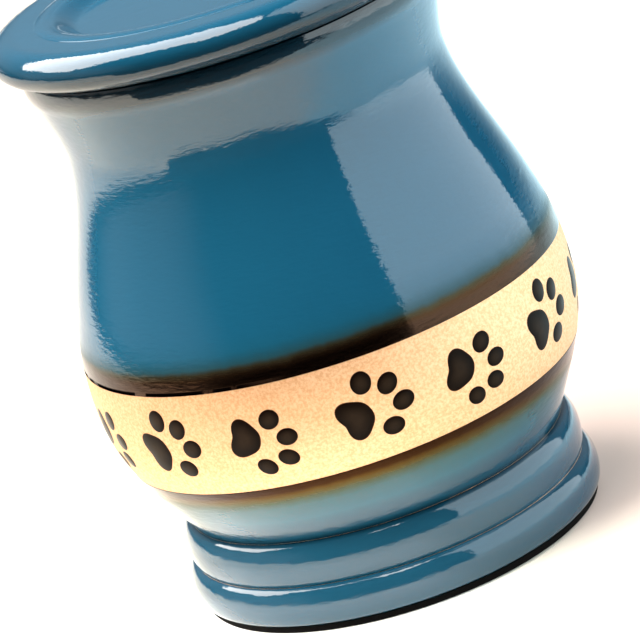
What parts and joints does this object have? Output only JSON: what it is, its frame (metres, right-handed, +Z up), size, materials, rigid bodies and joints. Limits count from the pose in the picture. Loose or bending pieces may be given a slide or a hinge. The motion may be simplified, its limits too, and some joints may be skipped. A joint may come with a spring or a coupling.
{
  "type": "pet cremation urn",
  "caption": "Turned metal urn with a rounded belly, drawn-in neck, ringed foot, lift-off dished lid and a band of paw prints round the belly.",
  "frame": {"origin": "middle of the felt pad's underside, on the axis of turning", "axes": "+Z up along the axis of turning; the side that the picture shows faces -Y"},
  "size_m": [0.117, 0.117, 0.1458],
  "materials": {
    "blue_enamel": "high-gloss teal blue enamel over metal, sprayed dark beside the band",
    "bare_brass": "fine satin brass, left bare in the band and inside",
    "print_enamel": "brown-black enamel filled into the paw prints",
    "black_felt": "dense black felt"
  },
  "bodies": {
    "root": {"urn_body": "blue_enamel", "lid": "blue_enamel", "base_pad": "black_felt"}
  },
  "joints": []
}
